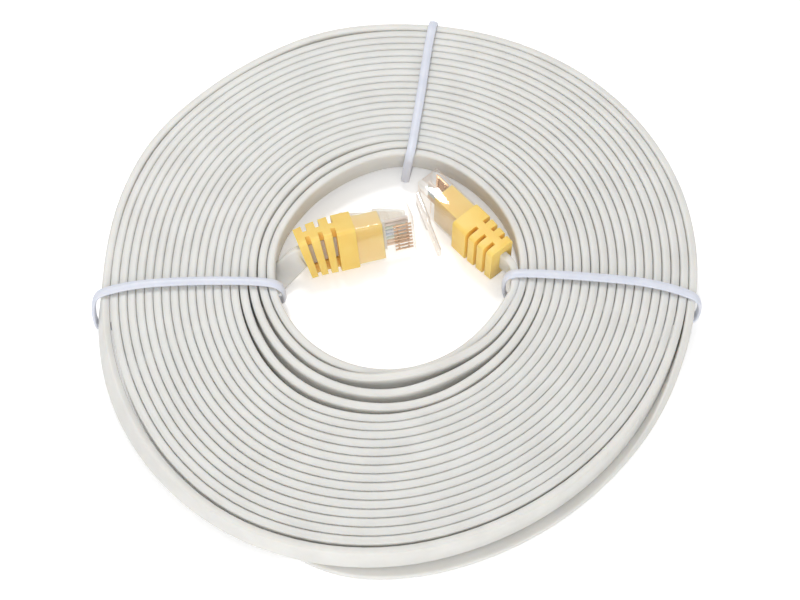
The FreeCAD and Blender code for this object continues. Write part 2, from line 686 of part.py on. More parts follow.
def least_turn_gap(step):
    """Least gap between neighbouring turns, measured on rays a step of degrees apart."""
    edges = coil_path()
    least = TURN_PITCH
    for index in range(round(360 / step)):
        radii = radius_at(edges, (index + 0.5) * step)
        steps = [after - before for before, after in zip(radii, radii[1:]) if after - before > CABLE_THICKNESS]
        least = min([least] + steps)
    return least - CABLE_THICKNESS


def plug_nodes(side, placement):
    """Every node of one plug, in place."""
    pieces = {"housing": plug_housing(), "latch": plug_latch(), "contacts": plug_contacts(),
              "load_bar": plug_load_bar(), "boot": plug_boot()}
    for colour in dict.fromkeys(PAIR_ORDER):
        pieces["pair_" + colour] = plug_pair(colour)
    nodes = {}
    for name, shape in pieces.items():
        shape.Placement = placement.multiply(shape.Placement)
        nodes[side + "_" + name] = shape
    hinge = placement.multVec(LATCH_HINGE)
    axis = placement.Rotation.multVec(Vector(0, 0, 1))
    print(side, "latch hinge", [round(v, 3) for v in hinge], "axis", [round(v, 5) for v in axis])
    return nodes


def cable_nodes():
    """The cable's spiral and its four free stretches."""
    edges = coil_path()
    coil = swept_ribbon(edges, 90.0)
    report_sweep("coil", coil, sum(edge.Length for edge in edges), [])
    print("least gap between turns", round(least_turn_gap(GAP_STEP), 3))
    lead, entry = left_lead()
    rise, leave = outer_rise()
    return {"cable_coil": coil, "cable_lead_right": right_lead(), "cable_lead_left": lead,
            "cable_rise": rise, "cable_underpass": underpass(entry, leave)}


def main():
    """Build every node and write it."""
    nodes = cable_nodes()
    nodes.update(plug_nodes("left", LEFT_PLUG))
    nodes.update(plug_nodes("right", RIGHT_PLUG))
    for name in TIE_ANGLES:
        nodes["tie_" + name + "_sleeve"], nodes["tie_" + name + "_core"] = tie_pieces(name)
    os.makedirs("parts", exist_ok=True)
    for name, shape in nodes.items():
        if len(shape.Solids) == 1:
            shape = shape.Solids[0]
        shape.exportStep("parts/" + name + ".step")
    whole = Part.makeCompound(list(nodes.values())).BoundBox
    print("box", [round(v, 2) for v in (whole.XMin, whole.YMin, whole.ZMin, whole.XMax, whole.YMax, whole.ZMax)])
    return nodes


if __name__ == "__main__":
    main()
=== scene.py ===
"""Flat ethernet patch cable, wound in a flat spiral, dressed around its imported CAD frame.

Metres, +Z up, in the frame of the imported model. The cable, the ties, the boots, the housings and
the contacts are made here. The latches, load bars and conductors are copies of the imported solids.
"""
import logging
import math
from dataclasses import dataclass
from enum import Enum
from typing import ClassVar

import bpy
import numpy
from bpy.types import Material, Node, NodeSocket, NodeTree, Object
from mathutils import Matrix, Vector


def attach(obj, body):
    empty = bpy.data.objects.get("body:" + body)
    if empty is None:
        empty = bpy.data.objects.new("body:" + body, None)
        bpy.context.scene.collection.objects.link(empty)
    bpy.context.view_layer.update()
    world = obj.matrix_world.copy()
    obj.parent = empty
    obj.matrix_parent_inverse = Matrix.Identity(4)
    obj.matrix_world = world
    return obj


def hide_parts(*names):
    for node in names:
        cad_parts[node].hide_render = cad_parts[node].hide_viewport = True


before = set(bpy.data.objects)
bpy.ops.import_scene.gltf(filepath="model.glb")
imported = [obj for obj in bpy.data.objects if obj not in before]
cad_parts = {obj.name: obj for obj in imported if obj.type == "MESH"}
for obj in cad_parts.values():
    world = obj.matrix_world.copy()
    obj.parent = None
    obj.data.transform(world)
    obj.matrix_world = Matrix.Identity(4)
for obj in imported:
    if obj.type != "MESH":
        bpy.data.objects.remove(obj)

log = logging.getLogger("patch_cable")

MM = 0.001
PHOTO_WIDTH = 800
UP = Vector((0.0, 0.0, 1.0))
WHITE = (1.0, 1.0, 1.0, 1.0)
SPLINE_ORDER = 3

# Rounded edges of the mouldings: steps in a round, and angles in degrees
CORNER_STEPS = 5
EDGE_STEPS = 3
FINE_STEPS = 2
BEVEL_ANGLE = 40.0
SMOOTH_ANGLE = 50.0
FLAT_ANGLE = 1.0

# In millimetres: a cutter's reach past a face, what picks vertices and long edges, which points
# count as one, the room in front of a boot's insert, and the right latch's rise, so that it clears
# its housing when pressed
CUT_MARGIN = 1.0
PICK_MARGIN = 0.1
LONG_EDGE = 1.0
MERGE_DISTANCE = 0.001
POCKET_GAP = 0.1
RIGHT_LATCH_RISE = 0.35

Corner = tuple[float, float, float]
Rows = tuple[tuple[float, ...], ...]


class Slot(Enum):
    """Material slots of the record."""

    JACKET = "jacket"
    BOOT = "boot_yellow"
    CLEAR = "clear_plastic"
    GOLD = "contact_gold"
    TIE = "tie_plastic"
    WIRE = "tie_wire"
    ORANGE = "wire_orange"
    GREEN = "wire_green"
    BLUE = "wire_blue"
    BROWN = "wire_brown"


def heading(degrees: float) -> Vector:
    """Level unit vector, counted from +X towards +Y."""
    angle = math.radians(degrees)
    return Vector((math.cos(angle), math.sin(angle), 0.0))


def smooth(share: float) -> float:
    """Ease in and out between 0 and 1."""
    return share * share * (3.0 - 2.0 * share)


def linear(hex_colour: str) -> tuple[float, float, float, float]:
    """Turn an sRGB colour into linear red, green, blue and alpha.

    Args:
        hex_colour: Six hex digits after a number sign.

    Returns:
        Four numbers for a colour socket.
    """
    channels = [int(hex_colour[index:index + 2], 16) / 255.0 for index in (1, 3, 5)]
    turned = [c / 12.92 if c <= 0.04045 else ((c + 0.055) / 1.055) ** 2.4 for c in channels]
    return turned[0], turned[1], turned[2], 1.0


# Materials


def fill(tree: NodeTree, node: Node, inputs: dict) -> None:
    """Give a shader node's inputs their values or links.

    Args:
        tree: Node tree of the material.
        node: Node of that tree.
        inputs: Value or output socket for each input, by name or number.
    """
    for name, value in inputs.items():
        if isinstance(value, NodeSocket):
            tree.links.new(value, node.inputs[name])
        else:
            node.inputs[name].default_value = value


def add_node(tree: NodeTree, kind: str, settings: dict | None = None, inputs: dict | None = None) -> Node:
    """Add a shader node with its settings and its inputs' values or links.

    Args:
        tree: Node tree of the material.
        kind: Blender's name of the node type.
        settings: Attributes to set on the node.
        inputs: Value or output socket for each input, by name or number.

    Returns:
        The new node.
    """
    node = tree.nodes.new(kind)
    for name, value in (settings or {}).items():
        setattr(node, name, value)
    fill(tree, node, inputs or {})
    return node


@dataclass(frozen=True)
class Moulded:
    """Finish of a moulded or extruded plastic: colour, fine grain and gloss."""

    name: str
    light: str
    dark: str
    mottle_mm: float
    grain_mm: float
    grain_height_mm: float
    roughness: float
    roughness_play: float
    subsurface: float = 0.0
    subsurface_mm: float = 1.0

    def build(self) -> Material:
        """Make the material.

        Returns:
            Material whose pattern reads Object coordinates.
        """
        material = bpy.data.materials.new(self.name)
        material.use_nodes = True
        tree = material.node_tree
        shader = tree.nodes["Principled BSDF"]
        place = add_node(tree, "ShaderNodeTexCoord").outputs["Object"]
        mottle = add_node(tree, "ShaderNodeTexNoise", {}, {
            "Vector": place, "Scale": 1.0 / (self.mottle_mm * MM), "Detail": 4.0})
        blend = add_node(tree, "ShaderNodeMapRange", {}, {
            "Value": mottle.outputs["Fac"], "From Min": 0.3, "From Max": 0.7})
        colour = add_node(tree, "ShaderNodeMix", {"data_type": "RGBA"}, {
            "Factor": blend.outputs["Result"], 6: linear(self.dark), 7: linear(self.light)})
        grain = add_node(tree, "ShaderNodeTexNoise", {}, {
            "Vector": place, "Scale": 1.0 / (self.grain_mm * MM), "Detail": 2.0})
        gloss = add_node(tree, "ShaderNodeMapRange", {}, {
            "Value": mottle.outputs["Fac"],
            "To Min": self.roughness - self.roughness_play,
            "To Max": self.roughness + self.roughness_play})
        bump = add_node(tree, "ShaderNodeBump", {}, {
            "Height": grain.outputs["Fac"], "Distance": self.grain_height_mm * MM})
        fill(tree, shader, {
            "Base Color": colour.outputs[2], "Roughness": gloss.outputs["Result"],
            "Normal": bump.outputs["Normal"], "IOR": 1.5, "Subsurface Weight": self.subsurface,
            "Subsurface Scale": self.subsurface_mm * MM, "Subsurface Radius": (1.0, 0.8, 0.6)})
        return material


@dataclass(frozen=True)
class Clear:
    """Finish of clear moulded plastic: light passes straight through, with a gloss on top.

    The walls are thin, so light isn't bent, and what is inside stays as bright as outside. Edges seen
    edge-on get a painted shade instead.
    """

    name: str
    # tint is the see-through colour facing the camera; painted_edge_shade is a painted shade, darker and
    # warmer, where the surface is seen edge-on
    tint: str
    painted_edge_shade: str
    gloss: float
    edge_gloss: float
    roughness: float
    flow_mm: float
    flow_height_mm: float

    def build(self) -> Material:
        """Make the material.

        Returns:
            Material that mixes a see-through shader with a glossy one, more at grazing angles.
        """
        material = bpy.data.materials.new(self.name)
        material.use_nodes = True
        tree = material.node_tree
        tree.nodes.remove(tree.nodes["Principled BSDF"])
        place = add_node(tree, "ShaderNodeTexCoord").outputs["Object"]
        flow = add_node(tree, "ShaderNodeTexNoise", {}, {
            "Vector": place, "Scale": 1.0 / (self.flow_mm * MM), "Detail": 1.0})
        haze = add_node(tree, "ShaderNodeMapRange", {}, {
            "Value": flow.outputs["Fac"], "To Min": self.roughness * 0.5,
            "To Max": self.roughness * 1.5})
        bump = add_node(tree, "ShaderNodeBump", {}, {
            "Height": flow.outputs["Fac"], "Distance": self.flow_height_mm * MM})
        shine = add_node(tree, "ShaderNodeBsdfAnisotropic", {}, {
            "Color": WHITE, "Roughness": haze.outputs["Result"], "Normal": bump.outputs["Normal"]})
        edge = add_node(tree, "ShaderNodeLayerWeight", {}, {
            "Blend": 0.3, "Normal": bump.outputs["Normal"]})
        share = add_node(tree, "ShaderNodeMapRange", {}, {
            "Value": edge.outputs["Facing"], "To Min": self.gloss, "To Max": self.edge_gloss})
        # Painted shade along the edges: where the surface is seen edge-on, the see-through colour turns
        # from the tint to the darker edge colour, in place of the light that clear plastic bends there
        painted_shade_share = add_node(tree, "ShaderNodeMapRange", {}, {
            "Value": edge.outputs["Facing"], "From Min": 0.3, "From Max": 0.8})
        shade = add_node(tree, "ShaderNodeMix", {"data_type": "RGBA"}, {
            "Factor": painted_shade_share.outputs["Result"], 6: linear(self.tint), 7: linear(self.painted_edge_shade)})
        through = add_node(tree, "ShaderNodeBsdfTransparent", {}, {"Color": shade.outputs[2]})
        mixed = add_node(tree, "ShaderNodeMixShader", {}, {
            "Fac": share.outputs["Result"], 1: through.outputs["BSDF"], 2: shine.outputs["BSDF"]})
        fill(tree, tree.nodes["Material Output"], {"Surface": mixed.outputs["Shader"]})
        return material


@dataclass(frozen=True)
class Plated:
    """Finish of plated or drawn metal: fine lines and a soft reflection."""

    name: str
    light: str
    dark: str
    line_mm: float
    roughness: float

    def build(self) -> Material:
        """Make the material.

        Returns:
            Material with a metallic Principled shader.
        """
        material = bpy.data.materials.new(self.name)
        material.use_nodes = True
        tree = material.node_tree
        shader = tree.nodes["Principled BSDF"]
        place = add_node(tree, "ShaderNodeTexCoord").outputs["Object"]
        lines = add_node(tree, "ShaderNodeTexNoise", {}, {
            "Vector": place, "Scale": 1.0 / (self.line_mm * MM), "Detail": 3.0})
        colour = add_node(tree, "ShaderNodeMix", {"data_type": "RGBA"}, {
            "Factor": lines.outputs["Fac"], 6: linear(self.dark), 7: linear(self.light)})
        gloss = add_node(tree, "ShaderNodeMapRange", {}, {
            "Value": lines.outputs["Fac"], "To Min": self.roughness * 0.8, "To Max": self.roughness * 1.2})
        fill(tree, shader, {
            "Base Color": colour.outputs[2], "Roughness": gloss.outputs["Result"], "Metallic": 1.0})
        return material


class Finishes:
    """Every finish of the cable, each made once."""

    def __init__(self) -> None:
        """Build the materials."""
        # Satin PVC: an extruded jacket, off-white, with a soft gloss along its rounded edges
        self.jacket = Moulded("extruded_satin_pvc", "#E4E3DF", "#DAD9D5", mottle_mm=9.0, grain_mm=0.35,
                              grain_height_mm=0.015, roughness=0.42, roughness_play=0.06,
                              subsurface=0.5, subsurface_mm=2.0).build()
        # Soft PVC overmoulding: warm yellow that lets light a little way in
        self.boot = Moulded("moulded_soft_yellow_pvc", "#FFD97A", "#FBD06A", mottle_mm=5.0, grain_mm=0.25,
                            grain_height_mm=0.02, roughness=0.45, roughness_play=0.05,
                            subsurface=0.45, subsurface_mm=2.0).build()
        # PVC sleeve of a wire tie: cool white, a little glossier than the jacket
        self.tie = Moulded("extruded_tie_pvc", "#E2E5EF", "#D8DCE8", mottle_mm=4.0, grain_mm=0.3,
                           grain_height_mm=0.01, roughness=0.35, roughness_play=0.05,
                           subsurface=0.2, subsurface_mm=0.6).build()
        # Polycarbonate: clear, hard and glossy, with faint flow marks from the mould, and a painted shade
        # along edges seen edge-on
        self.clear = Clear("moulded_clear_polycarbonate", "#FFFFFE", "#DDD3CA", gloss=0.03, edge_gloss=0.4,
                           roughness=0.08, flow_mm=3.0, flow_height_mm=0.015).build()
        # Latch: the same plastic, thicker, with a milkier shine and a darker painted shade along edges seen
        # edge-on
        self.latch = Clear("moulded_milky_polycarbonate", "#F6F3EE", "#CFC3B8", gloss=0.25, edge_gloss=0.6,
                           roughness=0.12, flow_mm=2.0, flow_height_mm=0.02).build()
        # Load bar: natural nylon, milky, so that the conductors in it don't show
        self.comb = Moulded("moulded_natural_nylon", "#F4F1EA", "#EDE9E0", mottle_mm=2.0, grain_mm=0.2,
                            grain_height_mm=0.01, roughness=0.35, roughness_play=0.05,
                            subsurface=0.4).build()
        # Contacts: gold flash over stamped phosphor bronze
        self.gold = Plated("stamped_gold_flash", "#DDB792", "#C79F7C", line_mm=0.2, roughness=0.35).build()
        # Tie core: drawn zinc-coated steel wire
        self.wire = Plated("drawn_zinc_steel", "#C9CACC", "#A9ABAE", line_mm=0.15, roughness=0.35).build()
        # Conductors: glossy polyolefin insulation in four pale pair colours
        self.pairs = {}
        for colour, light, dark in (("orange", "#F6DCC4", "#EFCFB2"), ("green", "#E4EBE2", "#D8E2D6"),
                                    ("blue", "#E0E5EE", "#D3DAE6"), ("brown", "#E8DCD3", "#DCCDC2")):
            self.pairs[colour] = Moulded("extruded_insulation_" + colour, light, dark, mottle_mm=1.2,
                                         grain_mm=0.2, grain_height_mm=0.005, roughness=0.3,
                                         roughness_play=0.04).build()


# Mesh helpers


def only(piece: Object) -> None:
    """Make a piece the only selected and the active object.

    Args:
        piece: Object to work on.
    """
    bpy.ops.object.select_all(action="DESELECT")
    bpy.context.view_layer.objects.active = piece
    piece.select_set(True)


def read_spline(places: list[Vector], resolution: int) -> list[Vector]:
    """Read the smooth line that a NURBS spline takes through its control points.

    Args:
        places: Control points in metres.
        resolution: Points between two control points.

    Returns:
        Points along the spline.
    """
    curve = bpy.data.curves.new("line", "CURVE")
    curve.dimensions = "3D"
    spline = curve.splines.new("NURBS")
    spline.points.add(len(places) - 1)
    for point, place in zip(spline.points, places):
        point.co = (*place, 1.0)
    spline.order_u = SPLINE_ORDER
    spline.use_endpoint_u = True
    spline.resolution_u = resolution
    holder = bpy.data.objects.new("line", curve)
    bpy.context.scene.collection.objects.link(holder)
    bpy.context.view_layer.update()
    mesh = bpy.data.meshes.new_from_object(holder.evaluated_get(bpy.context.evaluated_depsgraph_get()))
    line = [vertex.co.copy() for vertex in mesh.vertices]
    bpy.data.objects.remove(holder)
    bpy.data.meshes.remove(mesh)
    bpy.data.curves.remove(curve)
    return line


def sweep(name: str, line: list[Vector], rail: list[Vector], outline: list[tuple[float, float]],
          finish: Material) -> Object:
    """Draw a section along a line, turned so that its width points at the rail.

    Args:
        name: Name of the piece.
        line: Points of the section's middle.
        rail: Point beside each of them, on the width's side.
        outline: Section, across its width and across its thickness.
        finish: Material of the piece.

    Returns:
        Closed mesh object with capped ends.
    """
    vertices = []
    for index, place in enumerate(line):
        tangent = (line[min(index + 1, len(line) - 1)] - line[max(index - 1, 0)]).normalized()
        wide = rail[index] - place
        wide = (wide - tangent * wide.dot(tangent)).normalized()
        thin = tangent.cross(wide)
        vertices += [place + wide * a + thin * b for a, b in outline]
    count = len(outline)
    faces = [tuple(range(count)), tuple(len(vertices) - 1 - corner for corner in range(count))]
    for ring in range(len(line) - 1):
        for corner in range(count):
            beyond = (corner + 1) % count
            faces.append((ring * count + corner, ring * count + beyond,
                          (ring + 1) * count + beyond, (ring + 1) * count + corner))
    mesh = bpy.data.meshes.new(name)
    mesh.from_pydata(vertices, [], faces)
    mesh.validate()
    mesh.polygons.foreach_set("use_smooth", [True] * len(mesh.polygons))
    mesh.materials.append(finish)
    piece = bpy.data.objects.new(name, mesh)
    bpy.context.scene.collection.objects.link(piece)
    only(piece)
    bpy.ops.object.mode_set(mode="EDIT")
    bpy.ops.mesh.select_all(action="SELECT")
    bpy.ops.mesh.normals_make_consistent(inside=False)
    bpy.ops.object.mode_set(mode="OBJECT")
    return piece


def add_box(low: Corner, high: Corner, name: str) -> Object:
    """Add a box between two corners, in millimetres, with its place in its mesh.

    Args:
        low: Lowest corner.
        high: Highest corner.
        name: Name of the object.

    Returns:
        The new object.
    """
    bpy.ops.object.select_all(action="DESELECT")
    bpy.ops.mesh.primitive_cube_add(size=1.0, location=[(a + b) / 2.0 * MM for a, b in zip(low, high)])
    piece = bpy.context.object
    piece.name = name
    piece.scale = [(b - a) * MM for a, b in zip(low, high)]
    bpy.ops.object.transform_apply(location=True, rotation=True, scale=True)
    return piece


def apply_modifier(piece: Object, kind: str, **settings: object) -> None:
    """Add a modifier and apply it.

    Args:
        piece: Mesh object.
        kind: Blender's name of the modifier type.
        settings: Attributes to set on the modifier.
    """
    only(piece)
    modifier = piece.modifiers.new(kind.lower(), kind)
    for name, value in settings.items():
        setattr(modifier, name, value)
    bpy.ops.object.modifier_apply(modifier=modifier.name)


def cut_box(body: Object, low: Corner, high: Corner, operation: str = "DIFFERENCE") -> None:
    """Cut a box out of a moulding, or join one to it.

    Args:
        body: Moulding.
        low: Lowest corner of the box in millimetres.
        high: Highest corner of the box in millimetres.
        operation: Boolean operation.
    """
    tool = add_box(low, high, "cutter")
    apply_modifier(body, "BOOLEAN", operation=operation, object=tool, solver="EXACT")
    bpy.data.meshes.remove(tool.data)


# Plugs


@dataclass
class PlugPlace:
    """Where a plug lies: its nose, its heading, its lean on the latch side and its lift in mm."""

    nose: tuple[float, float]
    heading: float
    lean: float
    lift: float = 0.0
    half_height: float = 2.9 * MM
    half_width: float = 5.3 * MM
    corner: float = 0.9 * MM

    def matrix(self) -> Matrix:
        """Placement of the plug's own frame: x to the nose, y to the latch, z across.

        Returns:
            Matrix from the plug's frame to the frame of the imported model.
        """
        leaning = math.radians(self.lean)
        rise = self.half_height * math.sin(leaning) + self.half_width * math.cos(leaning)
        rise += self.corner + self.lift * MM
        turn = Matrix.Rotation(math.radians(self.heading), 4, "Z") @ Matrix.Rotation(-leaning, 4, "X")
        return Matrix.Translation((self.nose[0] * MM, self.nose[1] * MM, rise)) @ turn


# Where the photograph shows the plugs
LEFT_PLUG = PlugPlace(nose=(4.5, 11.1), heading=15.0, lean=21.4, lift=0.9)
RIGHT_PLUG = PlugPlace(nose=(8.1, 23.8), heading=131.5, lean=0.0)

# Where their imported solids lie, from an earlier and looser fit to the photograph
PACKED_PLACES = {"left": PlugPlace(nose=(4.49, 11.195), heading=16.0, lean=27.0),
                 "right": PlugPlace(nose=(7.398, 24.408), heading=131.5, lean=0.0)}

# From a plug's nose to the end of its boot, and how much of that the cable fills
PLUG_LENGTH = 27.9 * MM
CABLE_GRIP = 10.4 * MM


@dataclass
class Boot:
    """Soft strain relief of one plug: insert, block, and fins on two spines round the cable.

    Lengths are in millimetres from the plug's nose, x to the nose, y to the latch, z across.
    """

    side: str
    place: PlugPlace
    bend: float = 0.0
    bend_down: float = 0.0
    front: float = -14.6
    insert_length: float = 6.7
    insert_width: float = 10.7
    insert_height: float = 5.8
    block_width: float = 12.4
    block_height: float = 8.4
    hood: float = 0.5
    block_length: float = 4.6
    rear_width: float = 12.0
    rear_height: float = 7.0
    fin_count: int = 3
    fin_pitch: float = 2.9
    fin_slot: float = 1.0
    spine: float = 2.1
    cable_room: float = 6.6
    corner: float = 1.1
    edge: float = 0.25

    def body(self) -> Object:
        """Make the block and the tapered part behind it, with round corners.

        Returns:
            Closed mesh object in the plug's own frame.
        """
        rear = self.front - self.block_length - self.fin_count * self.fin_pitch
        half = (self.block_height / 2.0, self.block_width / 2.0)
        body = add_box((rear, self.hood - half[0], -half[1]), (self.front, self.hood + half[0], half[1]),
                       self.side + "_boot_moulding")
        # Seam between the block and the fins
        bpy.ops.object.mode_set(mode="EDIT")
        bpy.ops.mesh.select_all(action="SELECT")
        seam = (self.front - self.block_length) * MM
        bpy.ops.mesh.bisect(plane_co=(seam, 0.0, 0.0), plane_no=(1.0, 0.0, 0.0))
        bpy.ops.mesh.select_all(action="DESELECT")
        bpy.ops.object.mode_set(mode="OBJECT")
        # Narrower rear end
        for vertex in body.data.vertices:
            vertex.select = vertex.co.x < (rear + PICK_MARGIN) * MM
        bpy.ops.object.mode_set(mode="EDIT")
        bpy.ops.mesh.select_mode(type="VERT")
        bpy.ops.transform.resize(value=(1.0, self.rear_height / self.block_height,
                                        self.rear_width / self.block_width))
        bpy.ops.mesh.select_all(action="DESELECT")
        bpy.ops.mesh.select_mode(type="EDGE")
        bpy.ops.object.mode_set(mode="OBJECT")
        # Round edges along the cable
        vertices = body.data.vertices
        for edge in body.data.edges:
            first, last = (vertices[number].co for number in edge.vertices)
            edge.select = abs(first.x - last.x) > LONG_EDGE * MM
        bpy.ops.object.mode_set(mode="EDIT")
        bpy.ops.mesh.bevel(offset=self.corner * MM, segments=CORNER_STEPS, affect="EDGES")
        bpy.ops.object.mode_set(mode="OBJECT")
        return body

    def build(self, finishes: Finishes) -> None:
        """Make the boot and put it on its plug.

        Args:
            finishes: Materials of the cable.
        """
        body = self.body()
        far = self.block_width
        for number in range(self.fin_count):
            front = self.front - self.block_length - number * self.fin_pitch
            rear = front - self.fin_slot
            for side in (-1.0, 1.0):
                near, beyond = sorted((side * self.spine / 2.0, side * far))
                cut_box(body, (rear, near, -far), (front, beyond, far))
            cut_box(body, (rear, -far, -self.cable_room / 2.0), (front, far, self.cable_room / 2.0))
        half = (self.insert_height / 2.0, self.insert_width / 2.0)
        cut_box(body, (self.front - CUT_MARGIN, -half[0], -half[1]),
                (self.front + self.insert_length, half[0], half[1]), "UNION")
        apply_modifier(body, "BEVEL", width=self.edge * MM, segments=EDGE_STEPS, limit_method="ANGLE",
                       angle_limit=math.radians(BEVEL_ANGLE))
        bpy.ops.object.shade_smooth_by_angle(angle=math.radians(SMOOTH_ANGLE))
        for vertex in body.data.vertices:
            vertex.co = self.bent(vertex.co)
        body.data.transform(self.place.matrix())
        body.data.materials.clear()
        body.data.materials.append(finishes.boot)
        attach(body, "cable")
        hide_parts(self.side + "_boot")
        log.info("%s boot: %d faces", self.side, len(body.data.polygons))

    def bent(self, point: Vector) -> Vector:
        """Where a point of the straight boot lies once its fins have bent with the cable.

        Args:
            point: Place in the plug's own frame, in metres.

        Returns:
            Place in the same frame.
        """
        pivot = (self.front - self.block_length) * MM
        length = self.fin_count * self.fin_pitch * MM
        behind = pivot - point.x
        if behind <= 0.0 or self.bend == 0.0:
            return point.copy()
        total = math.radians(self.bend)
        radius = length / total
        turned = total * min(1.0, behind / length)
        over = max(0.0, behind - length)
        along = Vector((1.0, 0.0, 0.0))
        upright = self.place.matrix().to_3x3().inverted() @ UP
        upright = (upright - along * upright.x).normalized()
        level = upright.cross(along)
        down = math.radians(self.bend_down)
        aside = level * math.cos(down) + upright * math.sin(down)
        across = along.cross(aside)
        lateral = point.dot(aside)
        straight = pivot - radius * math.sin(turned) - over * math.cos(turned)
        shifted = -radius * (1.0 - math.cos(turned)) - over * math.sin(turned)
        return (along * (straight - lateral * math.sin(turned))
                + aside * (shifted + lateral * math.cos(turned)) + across * point.dot(across))


LEFT_BOOT = Boot("left", LEFT_PLUG, bend=11.0, bend_down=55.0)
RIGHT_BOOT = Boot("right", RIGHT_PLUG, insert_length=8.4)


@dataclass
class Plug:
    """One plug: housing and contacts made here, and copies of its packed latch and inner parts.

    Lengths are in millimetres from the plug's nose, x to the nose, y to the latch, z across.
    """

    side: str
    place: PlugPlace
    pocket_front: float
    latch_rise: float
    length: float = 15.5
    height: float = 6.6
    width: float = 11.68
    edge: float = 0.5
    contact_count: int = 8
    contact_pitch: float = 1.02
    contact_thickness: float = 0.3
    contact_front: float = -0.7
    contact_rear: float = -5.2
    contact_top: float = -3.0
    contact_bottom: float = -2.5
    contact_edge: float = 0.06
    prong: float = 0.35
    prong_length: float = 0.4
    prong_root: float = 0.3
    prong_from_front: float = 0.8
    prong_from_rear: float = 1.2
    slot_run: float = 0.4
    slot_width: float = 0.5
    slot_depth: float = 0.6
    pocket_height: float = 5.9
    pocket_width: float = 10.8
    well_rear: float = -5.1
    well_front: float = -0.7
    well_width: float = 6.3
    well_depth: float = 0.4
    crimp_rear: float = -13.9
    crimp_length: float = 2.0
    crimp_width: float = 6.0
    crimp_depth: float = 0.2
    latch_edge: float = 0.15

    def contact_places(self) -> list[float]:
        """Middle of each contact across the plug.

        Returns:
            Places in millimetres.
        """
        middle = (self.contact_count - 1) / 2.0
        return [(number - middle) * self.contact_pitch for number in range(self.contact_count)]

    def settle(self, piece: Object, node: str, finish: Material,
               body: str = "cable") -> None:
        """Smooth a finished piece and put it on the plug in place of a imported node.

        Args:
            piece: Mesh object in the plug's own frame.
            node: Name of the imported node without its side.
            finish: Its material.
            body: Body that carries it.
        """
        only(piece)
        bpy.ops.object.shade_smooth_by_angle(angle=math.radians(SMOOTH_ANGLE))
        piece.data.transform(self.place.matrix())
        piece.data.materials.clear()
        piece.data.materials.append(finish)
        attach(piece, body)
        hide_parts(self.side + "_" + node)

    def build_housing(self, finishes: Finishes) -> None:
        """Mould the clear housing: rounded block with contact grooves and a pocket for the boot.

        Args:
            finishes: Materials of the cable.
        """
        half = (self.height / 2.0, self.width / 2.0)
        housing = add_box((-self.length, -half[0], -half[1]), (0.0, half[0], half[1]),
                          self.side + "_housing_moulding")
        apply_modifier(housing, "BEVEL", width=self.edge * MM, segments=EDGE_STEPS, limit_method="NONE")
        slot_half = self.slot_width / 2.0
        for place in self.contact_places():
            cut_box(housing, (self.contact_rear - self.slot_run, -self.height, place - slot_half),
                    (CUT_MARGIN, -half[0] + self.slot_depth, place + slot_half))
        cut_box(housing, (-self.length - CUT_MARGIN, -self.pocket_height / 2.0, -self.pocket_width / 2.0),
                (self.pocket_front, self.pocket_height / 2.0, self.pocket_width / 2.0))
        cut_box(housing, (self.well_rear, half[0] - self.well_depth, -self.well_width / 2.0),
                (self.well_front, self.height, self.well_width / 2.0))
        cut_box(housing, (self.crimp_rear, -self.height, -self.crimp_width / 2.0),
                (self.crimp_rear + self.crimp_length, self.crimp_depth - half[0], self.crimp_width / 2.0))
        self.settle(housing, "housing", finishes.clear)

    def build_contacts(self, finishes: Finishes) -> None:
        """Stamp one contact blade with its two prongs and set eight of them side by side.

        Args:
            finishes: Materials of the cable.
        """
        half = self.contact_thickness / 2.0
        blade = add_box((self.contact_rear, self.contact_top, -half),
                        (self.contact_front, self.contact_bottom, half), self.side + "_contact_blades")
        for front in (self.contact_front - self.prong_from_front, self.contact_rear + self.prong_from_rear):
            cut_box(blade, (front - self.prong_length, self.contact_bottom - self.prong_root, -half),
                    (front, self.contact_bottom + self.prong, half), "UNION")
        apply_modifier(blade, "BEVEL", width=self.contact_edge * MM, segments=FINE_STEPS,
                       limit_method="ANGLE", angle_limit=math.radians(BEVEL_ANGLE))
        first, *others = self.contact_places()
        copies = []
        for place in others:
            copy = blade.copy()
            copy.data = blade.data.copy()
            bpy.context.scene.collection.objects.link(copy)
            copy.data.transform(Matrix.Translation((0.0, 0.0, place * MM)))
            copies.append(copy)
        blade.data.transform(Matrix.Translation((0.0, 0.0, first * MM)))
        only(blade)
        for copy in copies:
            copy.select_set(True)
        bpy.ops.object.join()
        self.settle(blade, "contacts", finishes.gold)

    def build(self, finishes: Finishes) -> None:
        """Make the housing and contacts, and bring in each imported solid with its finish.

        Args:
            finishes: Materials of the cable.
        """
        self.build_housing(finishes)
        self.build_contacts(finishes)
        self.move_packed("latch", "latch_tab", self.side + "_latch", finishes.latch,
                         self.latch_edge, self.latch_rise)
        self.move_packed("load_bar", "load_comb", "cable", finishes.comb)
        for colour, material in finishes.pairs.items():
            self.move_packed("pair_" + colour, "conductors_" + colour, "cable",
                             material)

